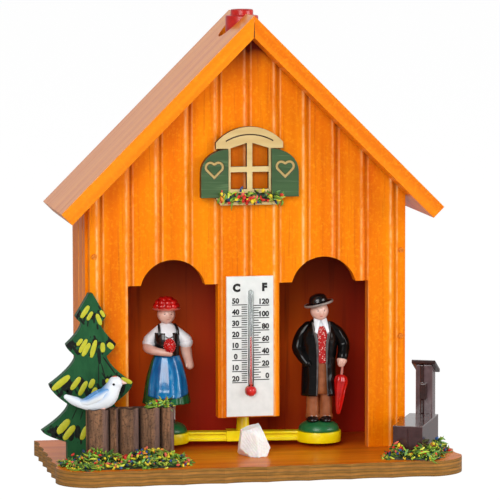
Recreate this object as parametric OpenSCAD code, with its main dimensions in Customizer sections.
// Weather house: a small wooden house whose two figures hang on a gut string and swing with the damp.
// Sizes are in millimetres. The origin is the middle of the base board's underside, and +Y runs to the back.

/* [Base board] */
// Thickness of the base board
base_t = 5.5; // [4:0.5:9]
// Board showing in front of the front panel
base_front_margin = 34.2; // [32:0.1:44]
// Board showing beside the front panel
base_side_margin = 15.5; // [15:0.5:24]
// Board showing behind the house
base_back_margin = 1; // [0.5:0.5:6]
// Radius of the two front corners
base_corner_r = 13; // [6:1:20]
// Depth of the shallow scallops along the front and sides
scallop_depth = 1.1; // [0.4:0.1:1.6]
// Length of one scallop along the front
front_scallop = 15; // [10:0.5:22]
// Length of one scallop along a side
side_scallop = 12; // [8:0.5:18]

/* [House] */
// Width of the front panel
panel_w = 114; // [106:1:124]
// Thickness of the front panel and the side walls
board_t = 5.2; // [4.6:0.2:6.4]
// How far the side walls stand out past the front panel's edge
wall_step = 1; // [0:0.2:2]
// Depth of the house from the front panel's face to its back
house_d = 36.8; // [36:0.2:48]
// Height of the side of the front panel above the base board
wall_h = 91; // [80:1:110]
// Thickness of the back panel
back_t = 3; // [2:0.5:4]
// Spacing of the vertical grooves
groove_pitch = 10.6; // [8:0.2:14]
// Width of a groove at the board's face
groove_w = 2.3; // [1:0.1:3]
// Depth of a groove
groove_depth = 1; // [0.4:0.1:1.6]

/* [Doorways] */
// Width of a doorway
door_w = 32.3; // [28:0.1:34]
// Distance between the middles of the two doorways
door_spacing = 54.5; // [52:0.5:60]
// Height of the doorway's shoulders above the base board
door_shoulder_h = 60.2; // [56:0.2:70]
// Radius of the arch over a doorway
arch_r = 11.9; // [9:0.1:13]
// Rise of the arch above the shoulders
arch_rise = 9; // [4:0.5:10]
// Free height under the central pillar
pillar_gap = 12.15; // [11:0.05:14]

/* [Roof] */
// Slope of the roof in degrees
roof_pitch = 45; // [40:1:50]
// Thickness of a roof board
roof_t = 5.5; // [4:0.5:8]
// Roof in front of the front panel's face
roof_front = 11.8; // [6:0.2:18]
// Roof behind the house
roof_back = 1; // [0:0.5:4]
// Roof past the front panel's edge, measured level
roof_side = 11.5; // [8:0.5:16]

/* [Movement] */
// Distance of the gut string behind the front panel's face
hang_setback = 12.3; // [12:0.1:14]
// Radius of the chimney knob's drum
drum_r = 5.85; // [4.5:0.05:6.5]
// Height of the drum's top under the ridge
drum_drop = 0.9; // [0:0.1:3]
// Radius of the chimney knob's top step
cap_r = 4.05; // [3:0.05:4.3]
// Height of the top step
cap_h = 2.2; // [1:0.1:4]
// Gap round the drum in the roof
drum_gap = 2.45; // [1:0.05:3]
// Radius of the knob's stem
stem_r = 2.5; // [2:0.1:3]
// Running clearance of the stem, the gut and the pins
fit = 0.05; // [0.02:0.01:0.08]
// Height of the suspension block's seat under the inner ridge
seat_drop = 7.5; // [7:0.1:9]
// Height of the suspension block under its seat
block_h = 10; // [8:0.5:14]
// Half width of the suspension block
block_half_w = 14; // [11:0.5:16]
// Suspension block behind the gut string
block_back = 8.5; // [7:0.5:11]
// Radius of the gut string
gut_r = 0.45; // [0.3:0.05:0.6]
// Gap between the base board and the discs
disc_gap = 1.5; // [1:0.1:2]
// Thickness of a disc
disc_t = 3.8; // [3:0.1:4.4]
// Radius of a disc
disc_r = 8; // [7.4:0.1:8.2]
// Height of the beam's arms
arm_h = 3.3; // [2.6:0.1:3.6]
// Width of the beam's arms
arm_w = 4.4; // [3:0.1:5]
// Resting turn of the beam in degrees, with the man's side forward
beam_turn = -7; // [-10:1:0]

/* [Figures] */
// Radius of a figure's domed base
foot_r = 7.3; // [6.5:0.1:7.4]
// Height of a figure's domed base
foot_h = 3.4; // [2.5:0.1:3.8]
// Height of the man from the soles to the top of the hat
man_h = 46.1; // [42:0.1:48]
// Height of the woman from the soles to the top of the hat
woman_h = 45.5; // [42:0.1:48]
// Length of the furled umbrella
umbrella_l = 14.4; // [11:0.1:16]

/* [Thermometer] */
// Width of the scale plate
plate_w = 16.9; // [14:0.1:20]
// Height of the scale plate
plate_h = 50.2; // [48:0.1:52]
// Height of the scale plate above the pillar's foot
plate_lift = 0.55; // [0:0.05:1.5]
// Thickness of the scale plate
plate_t = 1.2; // [1.2:0.1:1.6]
// Outer radius of the glass tube
tube_r = 1; // [0.8:0.02:1.2]
// Outer radius of the bulb
bulb_r = 2; // [1.7:0.05:2.1]
// Length of the tube from the bulb's middle
tube_l = 36.2; // [33:0.1:38]
// Length of the red thread from the bulb's middle
thread_l = 19.4; // [5:0.1:30]

/* [Window] */
// Height of the window sill's underside above the base board
window_sill_h = 88.4; // [86:0.1:94]
// Half width of the arched head and the sill
window_half_w = 12.1; // [11:0.1:13]
// Half width of the glazed part
sash_half_w = 7.7; // [7:0.1:8.5]
// Height of the window from the sill's underside to the top of its arch
window_h = 27.8; // [26:0.1:30]
// Thickness of the window frame
frame_t = 2.2; // [1.5:0.1:3.2]
// Width of a glazing bar
bar_w = 2; // [1.2:0.1:2.6]
// Width of a shutter
shutter_w = 9.9; // [9:0.1:11]
// Height of a shutter
shutter_h = 17.2; // [16:0.1:18]
// Thickness of a shutter
shutter_t = 3; // [2:0.1:4]

/* [Garden] */
// Height of the fir tree
tree_h = 58.7; // [50:0.1:64]
// Half width of the fir tree's lowest tier
tree_half_w = 17.6; // [15:0.1:19]
// Thickness of the fir tree
tree_t = 4; // [3:0.1:4.4]
// Gap between the fir tree and the front panel
tree_gap = 2; // [1.6:0.1:2.6]
// Length of the fence
fence_l = 31.1; // [28:0.1:33]
// Height of the fence
fence_h = 18.7; // [14:0.1:20]
// Thickness of the strip behind the fence's logs
fence_strip_t = 1.6; // [1:0.1:2]
// Thickness of the fence's logs
fence_log_t = 4.4; // [3.6:0.1:4.6]
// Gap between the fence and the front panel
fence_gap = 8.6; // [8.5:0.1:9]
// Length of the bird from its tail to its beak
bird_l = 21.8; // [18:0.1:24]
// Depth of the moss bed in front of the fence
bed_d = 8; // [5:0.1:10]
// Height of the moss beds
bed_h = 3.6; // [2:0.1:4.5]
// Length of the trough
trough_l = 30; // [26:0.5:31]
// Width of the trough
trough_w = 10.6; // [9:0.1:11]
// Height of the trough
trough_h = 11.2; // [8:0.1:14]
// Turn of the fountain from front to side in degrees
fountain_turn = 24.3; // [22:0.1:26]
// Side of the fountain's square post
post_w = 6.1; // [5:0.1:6.6]
// Height of the post's front above the base board
post_h = 28.9; // [24:0.1:34]
// Slope of the post's cap in degrees
cap_slope = 25; // [15:1:30]
// Height of the white stone
stone_h = 11.2; // [8:0.1:13]

/* [Fasteners] */
// Radius of a panel pin
pin_r = 0.6; // [0.4:0.05:0.8]
// Length of a panel pin
pin_l = 14; // [10:0.5:18]
// Radius of a pin's head
pin_head_r = 1; // [0.8:0.05:1.3]
// Radius of a base screw's shank
screw_r = 1.2; // [0.9:0.05:1.4]
// Radius of a base screw's countersunk head
screw_head_r = 2.4; // [2:0.1:2.6]
// Length of a base screw
screw_l = 18; // [14:0.5:22]

/* [Hidden] */

$fn = 48;
cut = 0.5;
soft_fn = 20;

base_w = panel_w + 2 * base_side_margin;
base_d = base_front_margin + house_d + base_back_margin;
front_y = -base_d / 2 + base_front_margin;
panel_back_y = front_y + board_t;
house_back_y = front_y + house_d;
back_face_y = house_back_y - back_t;
wall_out = panel_w / 2 + wall_step;
wall_in = wall_out - board_t;
wall_mid = wall_out - board_t / 2;
slope = tan(roof_pitch);
inner_ridge_z = base_t + wall_h + panel_w / 2 * slope;
ridge_z = inner_ridge_z + roof_t / cos(roof_pitch);
eave_x = panel_w / 2 + roof_side;
shoulder_z = base_t + door_shoulder_h;
hang_y = front_y + hang_setback;

seat_z = inner_ridge_z - seat_drop;
block_bottom_z = seat_z - block_h;
drum_top_z = ridge_z - drum_drop;
collar_t = 2.6;
collar_r = stem_r + 2;
collar_gap = 0.2;
stem_bottom_z = block_bottom_z - collar_gap - collar_t;
gut_socket = 6;

disc_z = base_t + disc_gap;
deck_z = disc_z + disc_t;
arm_z = deck_z - arm_h;
sole_z = deck_z + foot_h;
arm_l = door_spacing / 2 / cos(beam_turn);
hub_top_z = deck_z + 11;
hub_r = 3;
knot_r = 1;
knot_recess_r = 1.3;
peg_r = 1.5;
peg_l = 2.2;

// The figures are drawn at these heights and scaled evenly to the heights asked for
woman_drawn_h = 45.5;
man_drawn_h = 46.1;
woman_waist_z = 23.8;
woman_bust_z = 30;
woman_bust_r = 5.1;
woman_hand = [0.4, -5.5, 24.4];
woman_hand_r = 1.1;
man_hand = [8.2, -2.4, 21.2];
man_hand_r = 1.6;

plate_x = 0.2;
plate_z = base_t + pillar_gap + plate_lift;
plate_face_y = front_y - plate_t;
tube_x = plate_x + 0.15;
tube_y = front_y - bulb_r - 1.2 * fit;
bulb_z = plate_z + 9.2;
glass_t = 0.65;

sill_z = base_t + window_sill_h;
sash_bottom_z = sill_z + 5.7;
sash_top_z = sill_z + 20.2;
window_top_z = sill_z + window_h;
frame_face_y = front_y - frame_t;
shutter_z = sill_z + 2.8;
head_z = shutter_z + shutter_h + fit;

tree_x = -panel_w / 2 - 0.5;
tree_back_y = front_y - tree_gap;
fence_x0 = -panel_w / 2 - 3;
fence_back_y = front_y - fence_gap;
log_back_y = fence_back_y - fence_strip_t;
fence_front_y = log_back_y - fence_log_t;
fence_top_z = base_t + fence_h;
fountain_x = panel_w / 2 + trough_w / 2 * cos(fountain_turn) + 2.65;
fountain_y = front_y + 2.1;

pin_heights = [10, 40, 71];
pin_head_t = 0.5;
screw_ys = [front_y + pin_l + 4, house_back_y - 7];
screw_head_h = 2;

// Height of the roof's underside above a place at distance x from the middle
function under_roof(x) = inner_ridge_z - abs(x) * slope;

// Points along an edge from a to b, hollowed into shallow scallops with cusps between them
function scalloped(a, b, inward, pitch, steps = 6) =
  let (count = max(1, round(norm(b - a) / pitch)))
  [for (i = [0 : count * steps])
    let (t = i / steps, f = t - floor(t))
    a + (b - a) * t / count + inward * scallop_depth * 4 * f * (1 - f)];

// Points along an arc
function arc(centre, r, from, to, steps = 10) =
  [for (i = [0 : steps]) let (a = from + (to - from) * i / steps) centre + r * [cos(a), sin(a)]];

// A flat outline in X and Z, extruded between two depths
module upright(y0, y1) {
  translate([0, y1, 0]) rotate([90, 0, 0]) linear_extrude(y1 - y0) children();
}

// One vertical groove, cut from a face that looks along -Y
module groove(height) {
  linear_extrude(height)
    polygon([[-groove_w / 2, -cut], [groove_w / 2, -cut], [groove_w / 2, 0], [groove_w / 4, groove_depth],
      [-groove_w / 4, groove_depth], [-groove_w / 2, 0]]);
}

// The places of the panel pins, with their points to the back
module at_pins() {
  for (side = [-1, 1], h = pin_heights)
    translate([side * wall_mid, front_y, base_t + h]) rotate([-90, 0, 0]) children();
}

// The places of the base screws, with their points up
module at_screws() {
  for (side = [-1, 1], y = screw_ys) translate([side * wall_mid, y, 0]) children();
}

// Everything that turns with the beam, at its resting turn
module on_beam() {
  translate([0, hang_y, 0]) rotate([0, 0, beam_turn]) children();
}

// The fountain's own frame: origin at the trough's back end, +Y along the trough to the post
module at_fountain() {
  translate([fountain_x, fountain_y, base_t]) rotate([0, 0, -fountain_turn]) children();
}

// A rounded limb between two points
module limb(a, b, r1, r2) {
  hull() {
    translate(a) sphere(r1, $fn = soft_fn);
    translate(b) sphere(r2, $fn = soft_fn);
  }
}

module base_board() {
  half_w = base_w / 2;
  half_d = base_d / 2;
  straight_x = half_w - base_corner_r;
  corner_y = base_corner_r - half_d;
  tail = 0.6;
  outline = concat(
    [[-half_w, half_d], [half_w, half_d]],
    scalloped([half_w, half_d - tail], [half_w, corner_y], [-1, 0], side_scallop),
    arc([straight_x, corner_y], base_corner_r, -6, -84),
    scalloped([straight_x, -half_d], [-straight_x, -half_d], [0, 1], front_scallop),
    arc([-straight_x, corner_y], base_corner_r, -96, -174),
    scalloped([-half_w, corner_y], [-half_w, half_d - tail], [1, 0], side_scallop));
  color("peru") difference() {
    linear_extrude(base_t) polygon(outline);
    at_screws() {
      translate([0, 0, -cut]) cylinder(h = base_t + 2 * cut, r = screw_r + fit);
      translate([0, 0, -fit]) cylinder(h = screw_head_h, r1 = screw_head_r + fit, r2 = screw_r + fit);
    }
  }
}

// The joined outline of both doorways and the gap under the pillar
module doorways() {
  for (side = [-1, 1]) translate([side * door_spacing / 2, 0]) {
    translate([-door_w / 2, base_t - cut]) square([door_w, door_shoulder_h + cut]);
    translate([0, shoulder_z + arch_rise - arch_r]) circle(arch_r);
  }
  translate([-door_spacing / 2, base_t - cut]) square([door_spacing, pillar_gap + cut]);
}

module front_panel() {
  half_w = panel_w / 2;
  side_count = floor((half_w - groove_w) / groove_pitch);
  color("darkorange") difference() {
    upright(front_y, panel_back_y) difference() {
      polygon([[-half_w, base_t], [half_w, base_t], [half_w, under_roof(half_w)], [0, inner_ridge_z],
        [-half_w, under_roof(half_w)]]);
      doorways();
    }
    for (i = [-side_count : side_count])
      translate([i * groove_pitch, front_y, base_t - cut]) groove(inner_ridge_z);
    at_pins() cylinder(h = board_t + cut, r = pin_r + fit);
  }
}

module wall() {
  groove_count = floor((house_d - board_t) / groove_pitch);
  difference() {
    upright(panel_back_y, house_back_y)
      polygon([[wall_in, base_t], [wall_out, base_t], [wall_out, under_roof(wall_out)],
        [wall_in, under_roof(wall_in)]]);
    for (i = [0 : groove_count - 1])
      translate([wall_out, panel_back_y + (i + 0.5) * groove_pitch, base_t - cut])
        rotate([0, 0, 90]) groove(inner_ridge_z);
    at_pins() cylinder(h = pin_l + cut, r = pin_r + fit);
    at_screws() cylinder(h = screw_l + cut, r = screw_r + fit);
  }
}

module left_wall() {
  color("darkorange") mirror([1, 0, 0]) wall();
}

module right_wall() {
  color("darkorange") wall();
}

module back_panel() {
  color("sienna") upright(back_face_y, house_back_y)
    polygon([[-wall_in, base_t], [wall_in, base_t], [wall_in, under_roof(wall_in)], [0, inner_ridge_z],
      [-wall_in, under_roof(wall_in)]]);
}

module roof_board() {
  eave_z = ridge_z - eave_x * slope;
  difference() {
    upright(front_y - roof_front, house_back_y + roof_back)
      polygon([[0, inner_ridge_z], [0, ridge_z], [eave_x, eave_z],
        [eave_x - roof_t * sin(roof_pitch), eave_z - roof_t * cos(roof_pitch)]]);
    translate([0, hang_y, seat_z]) cylinder(h = ridge_z - seat_z + cut, r = drum_r + drum_gap);
  }
}

module roof_left() {
  color("orange") mirror([1, 0, 0]) roof_board();
}

module roof_right() {
  color("orange") roof_board();
}

module panel_pins() {
  color("goldenrod") at_pins() {
    cylinder(h = pin_l, r = pin_r);
    translate([0, 0, -pin_head_t]) cylinder(h = pin_head_t, r1 = pin_head_r * 0.8, r2 = pin_head_r);
  }
}

module base_screws() {
  color("silver") at_screws() {
    cylinder(h = screw_l, r = screw_r);
    cylinder(h = screw_head_h, r1 = screw_head_r, r2 = screw_r);
  }
}

module suspension_block() {
  seat_half_w = seat_drop / slope;
  shoulder = under_roof(block_half_w);
  color("burlywood") difference() {
    upright(panel_back_y, hang_y + block_back)
      polygon([[-seat_half_w, seat_z], [seat_half_w, seat_z], [block_half_w, shoulder],
        [block_half_w, block_bottom_z], [-block_half_w, block_bottom_z], [-block_half_w, shoulder]]);
    translate([0, hang_y, block_bottom_z - cut]) cylinder(h = block_h + 2 * cut, r = stem_r + fit);
  }
}

module chimney_knob() {
  edge = 0.5;
  cap_top_z = drum_top_z + cap_h;
  foot_z = seat_z + fit;
  color("firebrick") translate([0, hang_y, 0]) difference() {
    rotate_extrude()
      polygon(concat(
        [[0, stem_bottom_z], [stem_r, stem_bottom_z], [stem_r, foot_z], [drum_r, foot_z]],
        arc([drum_r - edge, drum_top_z - edge], edge, 0, 90, 4),
        [[cap_r, drum_top_z]],
        arc([cap_r - 2 * edge, cap_top_z - 2 * edge], 2 * edge, 0, 90, 4),
        [[0, cap_top_z]]));
    translate([0, 0, stem_bottom_z - cut]) cylinder(h = gut_socket + cut, r = gut_r + fit);
  }
}

module knob_collar() {
  color("goldenrod") translate([0, hang_y, stem_bottom_z]) difference() {
    cylinder(h = collar_t, r = collar_r);
    translate([0, 0, -cut]) cylinder(h = collar_t + 2 * cut, r = stem_r + fit / 2);
  }
}

module gut_string() {
  knot_z = arm_z + knot_r;
  gut_top_z = stem_bottom_z + gut_socket - fit;
  color("wheat") translate([0, hang_y, knot_z]) {
    cylinder(h = gut_top_z - knot_z, r = gut_r);
    sphere(knot_r);
  }
}

module figure_beam() {
  rib = arm_h / 4;
  channel = arm_w / 4;
  recess_h = 2 * knot_r + fit;
  color("gold") on_beam() difference() {
    union() {
      difference() {
        translate([-arm_l, -arm_w / 2, arm_z]) cube([2 * arm_l, arm_w, arm_h]);
        for (side = [-1, 1]) translate([-arm_l, side * arm_w / 2 - channel, arm_z + rib])
          cube([2 * arm_l, 2 * channel, arm_h - 2 * rib]);
      }
      translate([-2 * hub_r, -hub_r, arm_z]) cube([4 * hub_r, 2 * hub_r, arm_h + 0.4]);
      translate([0, 0, deck_z]) cylinder(h = hub_top_z - deck_z, r1 = 2.4, r2 = 1.8);
      for (side = [-1, 1]) translate([side * arm_l, 0, disc_z]) cylinder(h = disc_t, r = disc_r);
    }
    translate([0, 0, arm_z - cut]) cylinder(h = hub_top_z, r = gut_r + fit);
    translate([0, 0, arm_z - cut]) cylinder(h = recess_h + cut, r = knot_recess_r);
    for (side = [-1, 1]) translate([side * arm_l, 0, deck_z - peg_l - fit])
      cylinder(h = peg_l + cut, r = peg_r + fit);
  }
}

// A domed figure base with the peg that holds it in its disc
module figure_foot() {
  rim_h = 0.8;
  top_r = 4.2;
  translate([0, 0, deck_z]) rotate_extrude()
    polygon(concat(
      [[0, -peg_l], [peg_r, -peg_l], [peg_r, 0], [foot_r, 0], [foot_r, rim_h]],
      [for (i = [1 : 6]) [top_r + (foot_r - top_r) * cos(15 * i), rim_h + (foot_h - rim_h) * sin(15 * i)]],
      [[0, foot_h]]));
}

module on_woman_side() {
  on_beam() translate([-arm_l, 0, 0]) children();
}

module on_man_side() {
  on_beam() translate([arm_l, 0, 0]) children();
}

// The woman's own frame: origin between the soles, in drawn size
module at_woman() {
  on_woman_side() translate([0, 0, sole_z]) scale(woman_h / woman_drawn_h) children();
}

// The man's own frame: origin between the soles, in drawn size
module at_man() {
  on_man_side() translate([0, 0, sole_z]) scale(man_h / man_drawn_h) children();
}

module woman_base() {
  color("seagreen") on_woman_side() figure_foot();
}

module woman_figure() {
  hem_z = 6.4;
  hem_r = 8.6;
  waist_r = 4.3;
  shoulder_z = 34.2;
  neck_r = 1.8;
  head_r = 3.4;
  face_z = 38.6;
  brim_z = 40.3;
  brim_r = 5;
  crown_r = 4.3;
  leg_x = 1.9;
  shoe_r = 0.9;
  shoe_l = 2.4;
  sleeve_r = 2.6;
  arm_r = 1.9;
  low_hand_r = 1.5;
  elbow = [6.9, 0, 27];
  low_hand = [8.5, -0.8, 20.4];
  color("seagreen") at_woman() {
    for (side = [-1, 1]) {
      translate([side * leg_x, 0, 0]) cylinder(h = hem_z + 2, r1 = 1.2, r2 = neck_r, $fn = soft_fn);
      limb([side * leg_x, 0.4, shoe_r], [side * leg_x, -shoe_l, shoe_r], shoe_r, shoe_r);
      limb([side * 5.5, 0, shoulder_z - sleeve_r], [side * 6.4, 0, woman_bust_z - 1.5], sleeve_r, sleeve_r);
    }
    limb(elbow, low_hand, arm_r, low_hand_r);
    limb([-elbow[0], elbow[1], elbow[2]], woman_hand, arm_r, woman_hand_r);
    scale([1, 0.85, 1]) rotate_extrude($fn = 28)
      polygon([[0, hem_z], [hem_r, hem_z], [hem_r - 0.5, hem_z + 3], [hem_r - 1.5, hem_z + 9],
        [waist_r + 1.3, woman_waist_z - 2], [waist_r, woman_waist_z], [waist_r + 0.2, woman_waist_z + 2],
        [woman_bust_r, woman_bust_z], [woman_bust_r - 0.3, woman_bust_z + 2.4], [neck_r + 0.8, shoulder_z],
        [neck_r, shoulder_z + 2.2], [0, shoulder_z + 2.2]]);
    translate([0, 0, face_z]) sphere(head_r, $fn = soft_fn);
    translate([0, 0.3, brim_z]) rotate_extrude($fn = 24)
      polygon([[0, 0], [brim_r, 0], [brim_r, 0.9], [crown_r, 1.6], [crown_r - 0.4, 3.4],
        [crown_r - 1.6, 4.7], [0, woman_drawn_h - brim_z]]);
  }
}

// The bunch rests on the hand and has a flat back against the bodice
module bouquet() {
  bunch_r = 2.5;
  bunch_y = woman_hand[1] - 0.5;
  back = -0.85 * woman_bust_r - fit - bunch_y;
  color("crimson") at_woman()
    translate([woman_hand[0], bunch_y, woman_hand[2] + bunch_r + woman_hand_r + 2 * fit])
      rotate([-90, 0, 0]) rotate_extrude() intersection() {
        circle(bunch_r);
        translate([0, -bunch_r]) square([bunch_r, bunch_r + back]);
      }
}

module man_base() {
  color("seagreen") on_man_side() figure_foot();
}

module man_figure() {
  hem_z = 9.4;
  hem_r = 6.2;
  waist_z = 22;
  waist_r = 5.7;
  chest_r = 6.4;
  shoulder_z = 33.2;
  shoulder_x = 4.8;
  upper_arm_r = 2.3;
  elbows = [[-7.3, 0.4, 27], [9, 0.4, 27]];
  elbow_r = 2.1;
  hands = [[-4.6, -3.2, 21.6], man_hand];
  neck_r = 1.9;
  head_r = 3.5;
  face_z = 39.5;
  brim_z = 42.4;
  brim_r = 5.1;
  brim_tilt = 13;
  crown_r = 3.4;
  leg_x = 2.3;
  leg_r = 2.4;
  shoe_r = 1.2;
  shoe_l = 2.6;
  color("dimgray") at_man() {
    for (side = [-1, 1]) {
      translate([side * leg_x, 0, 0]) cylinder(h = hem_z + 3, r = leg_r, $fn = soft_fn);
      limb([side * leg_x, 0.8, shoe_r], [side * (leg_x + 0.3), -shoe_l, shoe_r], shoe_r, shoe_r);
      limb([side * shoulder_x, 0, shoulder_z - 2], elbows[(side + 1) / 2], upper_arm_r, elbow_r);
      limb(elbows[(side + 1) / 2], hands[(side + 1) / 2], elbow_r, man_hand_r);
    }
    scale([1, 0.78, 1]) rotate_extrude($fn = 28)
      polygon([[0, hem_z], [hem_r, hem_z], [waist_r, waist_z], [chest_r, waist_z + 6],
        [chest_r - 0.4, shoulder_z - 2], [neck_r + 1.4, shoulder_z + 1], [neck_r, shoulder_z + 3.4],
        [0, shoulder_z + 3.4]]);
    translate([0, 0, face_z]) sphere(head_r, $fn = soft_fn);
    translate([0, 0, brim_z]) rotate([0, -brim_tilt, 0]) rotate_extrude($fn = 24)
      polygon([[0, -0.6], [crown_r, -0.6], [brim_r, -0.3], [brim_r, 0.3], [crown_r + 0.1, 0.7],
        [crown_r - 0.2, 2.6], [crown_r - 1.3, 3.4], [0, man_drawn_h - brim_z]]);
  }
}

module umbrella() {
  top_r = 2.1;
  tip_r = 0.4;
  handle_r = 0.6;
  handle_l = 2.4;
  lean = 5;
  color("red") at_man() translate([man_hand[0], man_hand[1], man_hand[2] - man_hand_r - 2 * fit])
    rotate([0, 180 + lean, 0]) {
      cylinder(h = handle_l, r = handle_r);
      translate([0, 0, handle_l]) cylinder(h = umbrella_l, r1 = top_r, r2 = tip_r);
    }
}

module thermometer_plate() {
  hole_r = bulb_r + 2 * fit;
  color("white") difference() {
    upright(plate_face_y, front_y) translate([plate_x - plate_w / 2, plate_z]) square([plate_w, plate_h]);
    translate([tube_x, tube_y, bulb_z]) cylinder(h = tube_l + 2 * fit, r = tube_r + fit);
    translate([tube_x, plate_face_y - cut, bulb_z]) rotate([-90, 0, 0])
      cylinder(h = plate_t + 2 * cut, r = hole_r);
  }
}

// The glass body, or with a smaller wall allowance the space inside it
module tube_body(shrink, length) {
  translate([tube_x, tube_y, bulb_z]) {
    cylinder(h = length, r = tube_r - shrink);
    sphere(bulb_r - shrink);
  }
}

module thermometer_tube() {
  color("lightcyan") difference() {
    tube_body(0, tube_l);
    tube_body(glass_t, tube_l - glass_t);
  }
}

module thermometer_fluid() {
  color("red") tube_body(glass_t + fit / 2, thread_l);
}

// The window's frame without its engraved line
module window_outline() {
  head_rise = window_h - (head_z + 2.2 - sill_z);
  head_arc_r = (window_half_w * window_half_w + head_rise * head_rise) / (2 * head_rise);
  head_angle = asin(window_half_w / head_arc_r);
  sill_h = 3.4;
  pane_w = sash_half_w - bar_w / 2 - 0.9;
  transom_z = sash_bottom_z + 6;
  upright(frame_face_y, front_y) difference() {
    union() {
      polygon(concat(
        [[-window_half_w, head_z], [window_half_w, head_z]],
        arc([0, window_top_z - head_arc_r], head_arc_r, 90 - head_angle, 90 + head_angle, 16)));
      translate([-sash_half_w, sill_z]) square([2 * sash_half_w, head_z - sill_z + cut]);
      polygon([[-window_half_w + 1.6, sill_z], [window_half_w - 1.6, sill_z], [window_half_w, sill_z + 2.4],
        [window_half_w, shutter_z - fit], [-window_half_w, shutter_z - fit], [-window_half_w, sill_z + 2.4]]);
      translate([-sash_half_w, sill_z + sill_h]) square([2 * sash_half_w, cut]);
    }
    for (side = [-1, 1]) {
      polygon([[side * bar_w / 2, transom_z + bar_w], [side * (bar_w / 2 + pane_w), transom_z + bar_w],
        [side * (bar_w / 2 + pane_w), sash_top_z], [side * bar_w / 2, sash_top_z + 1.8]]);
      polygon([[side * bar_w / 2, sash_bottom_z], [side * (bar_w / 2 + pane_w), sash_bottom_z],
        [side * (bar_w / 2 + pane_w), transom_z], [side * bar_w / 2, transom_z]]);
    }
  }
}

module window_frame() {
  line_r = 17;
  line_drop = 2.8;
  line_w = 0.4;
  line_depth = 0.35;
  line_angle = 30;
  line_centre = [0, window_top_z - line_drop - line_r];
  color("blanchedalmond") difference() {
    window_outline();
    upright(frame_face_y - cut, frame_face_y + line_depth) polygon(concat(
      arc(line_centre, line_r + line_w / 2, 90 - line_angle, 90 + line_angle, 16),
      arc(line_centre, line_r - line_w / 2, 90 + line_angle, 90 - line_angle, 16)));
  }
}

// A heart of the given width, with its point down and its middle at the origin, shrunk evenly by an inset
module heart(width, inset = 0) {
  lobe = width / (2 + sqrt(2));
  side = 2 * lobe;
  translate([0, -side * sqrt(0.5) + 0.4 * lobe]) {
    translate([0, inset * sqrt(2)]) rotate(45) square(side - inset);
    for (s = [-1, 1]) translate([s * lobe * sqrt(0.5), 1.5 * side * sqrt(0.5)]) circle(lobe - inset);
  }
}

module shutter() {
  crown = 8.2;
  heart_w = 7;
  line_w = 0.9;
  line_depth = 0.35;
  face_y = front_y - shutter_t;
  heart_lobe = heart_w / (2 + sqrt(2));
  cleft_z = (0.4 + sqrt(2)) * heart_lobe;
  difference() {
    upright(face_y, front_y) polygon(concat(
      [[0, 0], [shutter_w, 0]],
      [for (i = [0 : 8]) [shutter_w * cos(i * 11.25), shutter_h - crown + crown * sin(i * 11.25)]]));
    upright(face_y - cut, face_y + line_depth) translate([shutter_w / 2 + 0.1, shutter_h / 2]) difference() {
      heart(heart_w);
      difference() {
        heart(heart_w, line_w);
        translate([0, cleft_z]) circle(line_w);
      }
    }
  }
}

module shutter_left() {
  color("darkolivegreen") mirror([1, 0, 0]) translate([sash_half_w, 0, shutter_z]) shutter();
}

module shutter_right() {
  color("darkolivegreen") translate([sash_half_w, 0, shutter_z]) shutter();
}

// A mat of dried moss: a bumpy strip from x0 to x1 that lies in front of depth y
module moss_strip(x0, x1, y, depth, height) {
  length = x1 - x0;
  steps = max(6, round(length / 1.5));
  for (layer = [0, 1]) translate([0, 0, layer * height / 2]) linear_extrude(height / 2)
    polygon(concat(
      [[x1 - layer, y], [x0 + layer, y]],
      [for (i = [0 : steps]) let (t = i / steps)
        [x0 + layer + (length - 2 * layer) * t,
          y - depth * (1 - 0.3 * layer) * (0.72 + 0.14 * sin(700 * t) + 0.14 * sin(1900 * t + 40 * layer))]]));
}

// The moss lies on the sill's front and is cleared for the shutters' lower ends
module window_flowers() {
  strip_half_w = window_half_w - 0.6;
  strip_h = 6.2;
  strip_depth = 2.8;
  color("yellowgreen") difference() {
    translate([0, 0, sill_z]) moss_strip(-strip_half_w, strip_half_w, frame_face_y, strip_depth, strip_h);
    for (side = [-1, 1]) translate([side * (sash_half_w + shutter_w / 2), front_y, shutter_z + shutter_h / 2])
      cube([shutter_w + 2 * fit, 2 * (shutter_t + fit), shutter_h + 2 * fit], center = true);
  }
}

// Half of the tree's outline: each tier flares out from a neck to a tip, and its underside bulges to the next neck
function tree_tier(neck, tip, bend) =
  [for (i = [0 : 4]) let (t = i / 4) [neck[0] + (tip[0] - neck[0]) * pow(t, bend), neck[1] + (tip[1] - neck[1]) * t]];

function tree_under(tip, neck) =
  [for (i = [1 : 2]) let (t = i / 3) [tip[0] + (neck[0] - tip[0]) * pow(t, 1.6), tip[1] + (neck[1] - tip[1]) * t]];

module fir_tree() {
  necks = [[0.04, 1], [0.19, 0.821], [0.313, 0.622], [0.46, 0.332]];
  tips = [[0.304, 0.865], [0.5, 0.695], [0.841, 0.455], [1, 0.179]];
  bends = [1.05, 1.5, 1.5, 1.5];
  trunk_half_w = 0.494 * tree_half_w;
  trunk_top = 0.105 * tree_h;
  neck_at = concat(
    [for (n = necks) [n[0] * tree_half_w, n[1] * tree_h]], [[trunk_half_w, trunk_top]]);
  tip_at = [for (n = tips) [n[0] * tree_half_w, n[1] * tree_h]];
  right = concat(
    [for (k = [0 : 3]) each concat(
      tree_tier(neck_at[k], tip_at[k], bends[k]), tree_under(tip_at[k], neck_at[k + 1]))],
    [neck_at[4], [trunk_half_w, 0]]);
  left = [for (i = [len(right) - 1 : -1 : 0]) [-right[i][0], right[i][1]]];
  color("darkgreen") translate([tree_x, 0, base_t]) upright(tree_back_y - tree_t, tree_back_y)
    polygon(concat(right, left));
}

module fence_backing() {
  color("saddlebrown") translate([fence_x0, log_back_y, base_t]) cube([fence_l, fence_strip_t, fence_h]);
}

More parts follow.
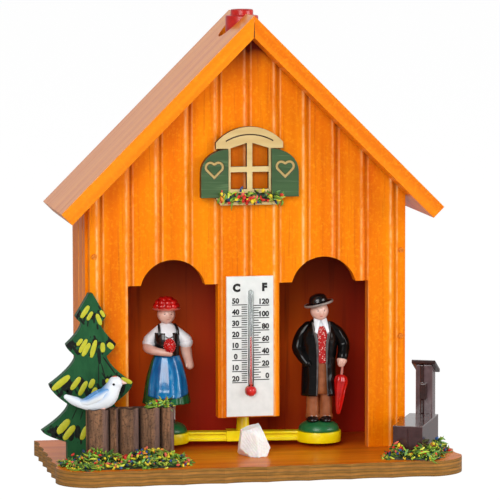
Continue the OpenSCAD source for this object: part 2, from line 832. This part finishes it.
// A half-round log from x0 to x1 with its flat back at the origin's depth
module half_log(x0, x1, thickness) {
  width = x1 - x0;
  bulge = width / 4;
  r = (width * width / 4 + bulge * bulge) / (2 * bulge);
  linear_extrude(fence_h) intersection() {
    translate([x0, -thickness]) square([width, thickness]);
    union() {
      translate([x0, bulge - thickness]) square([width, thickness]);
      translate([(x0 + x1) / 2, r - thickness]) circle(r);
    }
  }
}

module fence_logs() {
  log_gap = 0.15;
  shares = [0, 0.252, 0.365, 0.6, 0.842, 1];
  recess = [0, 1.4, 0.1, 0.3, 0.9];
  color("saddlebrown") translate([fence_x0, log_back_y, base_t])
    for (i = [0 : 4])
      half_log(shares[i] * fence_l + log_gap, shares[i + 1] * fence_l - log_gap, fence_log_t - recess[i]);
}

module fence_flowers() {
  patch_l = 0.28 * fence_l;
  inset = 0.5;
  color("yellowgreen") translate([fence_x0 + fence_l - inset, 0, fence_top_z])
    moss_strip(-patch_l, 0, fence_back_y - inset, fence_log_t, 0.8 * bed_h);
}

module bird() {
  drawn_l = 21.8;
  body = [7.2, 0, 4.2];
  body_r = 4.4;
  rump = [0.6, 0, 2.4];
  rump_r = 2.4;
  tail = [-6.6, 0, 4.9];
  tail_r = 0.9;
  head = [9.4, 0, 8.2];
  head_r = 2.8;
  beak = [14, 0, 8.7];
  perch_x = fence_x0 - 1;
  perch_y = (fence_back_y + fence_front_y) / 2;
  color("white") translate([perch_x, perch_y, fence_top_z]) scale(bird_l / drawn_l) difference() {
    union() {
      limb(body, rump, body_r, rump_r);
      limb(rump, tail, rump_r, tail_r);
      limb(body, head, body_r - 0.3, head_r);
      limb(head, beak, 1.2, 0.3);
    }
    translate([-drawn_l, -drawn_l / 2, -drawn_l]) cube([2 * drawn_l, drawn_l, drawn_l]);
  }
}

module flowers_left() {
  past_left = 7.5;
  past_right = 5;
  clear = 0.3;
  color("yellowgreen") translate([fence_x0, 0, base_t])
    moss_strip(-past_left, fence_l + past_right, fence_front_y - clear, bed_d, bed_h);
}

module flowers_right() {
  clear = 0.4;
  front_d = 0.62 * bed_d;
  side_d = 0.57 * bed_d;
  color("yellowgreen") at_fountain() {
    translate([0, -trough_l - clear, 0]) moss_strip(-trough_w / 2 - 2, trough_w / 2 + side_d, 0, front_d, bed_h);
    translate([trough_w / 2 + clear, 0, 0]) rotate([0, 0, 90])
      moss_strip(-trough_l - clear - 0.1, -trough_l / 3, 0, side_d, bed_h);
  }
}

module trough() {
  seam_w = 0.4;
  seam_depth = 0.3;
  color("saddlebrown") at_fountain() difference() {
    translate([-trough_w / 2, -trough_l, 0]) cube([trough_w, trough_l, trough_h]);
    translate([-seam_w / 2, -trough_l - cut, -cut]) cube([seam_w, seam_depth + cut, trough_h - 0.6]);
  }
}

// A side view of the fountain in Y and Z, extruded to a width about its middle
module side_view(width) {
  translate([-width / 2, 0, 0]) rotate([90, 0, 90]) linear_extrude(width) children();
}

module fountain_post() {
  color("saddlebrown") at_fountain() side_view(post_w)
    polygon([[0, 0], [post_w, 0], [post_w, post_h - post_w * tan(cap_slope)], [0, post_h]]);
}

module post_cap() {
  overhang = 1.3;
  cap_t = 1.3;
  front = -overhang;
  rear = post_w + 1.5 * overhang;
  rise = cap_t / cos(cap_slope);
  color("saddlebrown") at_fountain() side_view(post_w + 2 * overhang)
    polygon([[front, post_h - front * tan(cap_slope)], [rear, post_h - rear * tan(cap_slope)],
      [rear, post_h - rear * tan(cap_slope) + rise], [front, post_h - front * tan(cap_slope) + rise]]);
}

module spout() {
  rib_w = 1.3;
  rib_t = 0.9;
  rib_x = -0.6;
  nozzle_w = 2.4;
  nozzle_t = 2;
  nozzle_h = 5.8;
  nozzle_z = post_h - 12.4;
  color("saddlebrown") at_fountain() translate([rib_x, 0, 0]) {
    translate([-rib_w / 2, -rib_t, trough_h]) cube([rib_w, rib_t, post_h - trough_h]);
    translate([-rib_w / 2, -nozzle_t, nozzle_z]) cube([nozzle_w, nozzle_t, nozzle_h]);
  }
}

module quartz_stone() {
  stone_y = front_y - 10;
  half_w = 5.6;
  half_d = 4.2;
  rings = [[0, 1, 0.95, 0], [0.45, 0.86, 1, 14], [0.8, 0.62, 0.78, 31], [1, 0.3, 0.4, 8]];
  color("whitesmoke") translate([-0.2, stone_y, base_t]) hull()
    for (ring = rings) translate([ring[3] / 31 - 0.5, 0, ring[0] * stone_h])
      linear_extrude(0.01) polygon([for (i = [0 : 6]) let (a = i * 360 / 7 + ring[3])
        [half_w * ring[1] * cos(a), half_d * ring[2] * sin(a)]]);
}

base_board();
front_panel();
left_wall();
right_wall();
back_panel();
roof_left();
roof_right();
panel_pins();
base_screws();
suspension_block();
chimney_knob();
knob_collar();
gut_string();
figure_beam();
woman_base();
woman_figure();
bouquet();
man_base();
man_figure();
umbrella();
thermometer_plate();
thermometer_tube();
thermometer_fluid();
window_frame();
shutter_left();
shutter_right();
window_flowers();
fir_tree();
fence_backing();
fence_logs();
fence_flowers();
bird();
flowers_left();
flowers_right();
trough();
fountain_post();
post_cap();
spout();
quartz_stone();
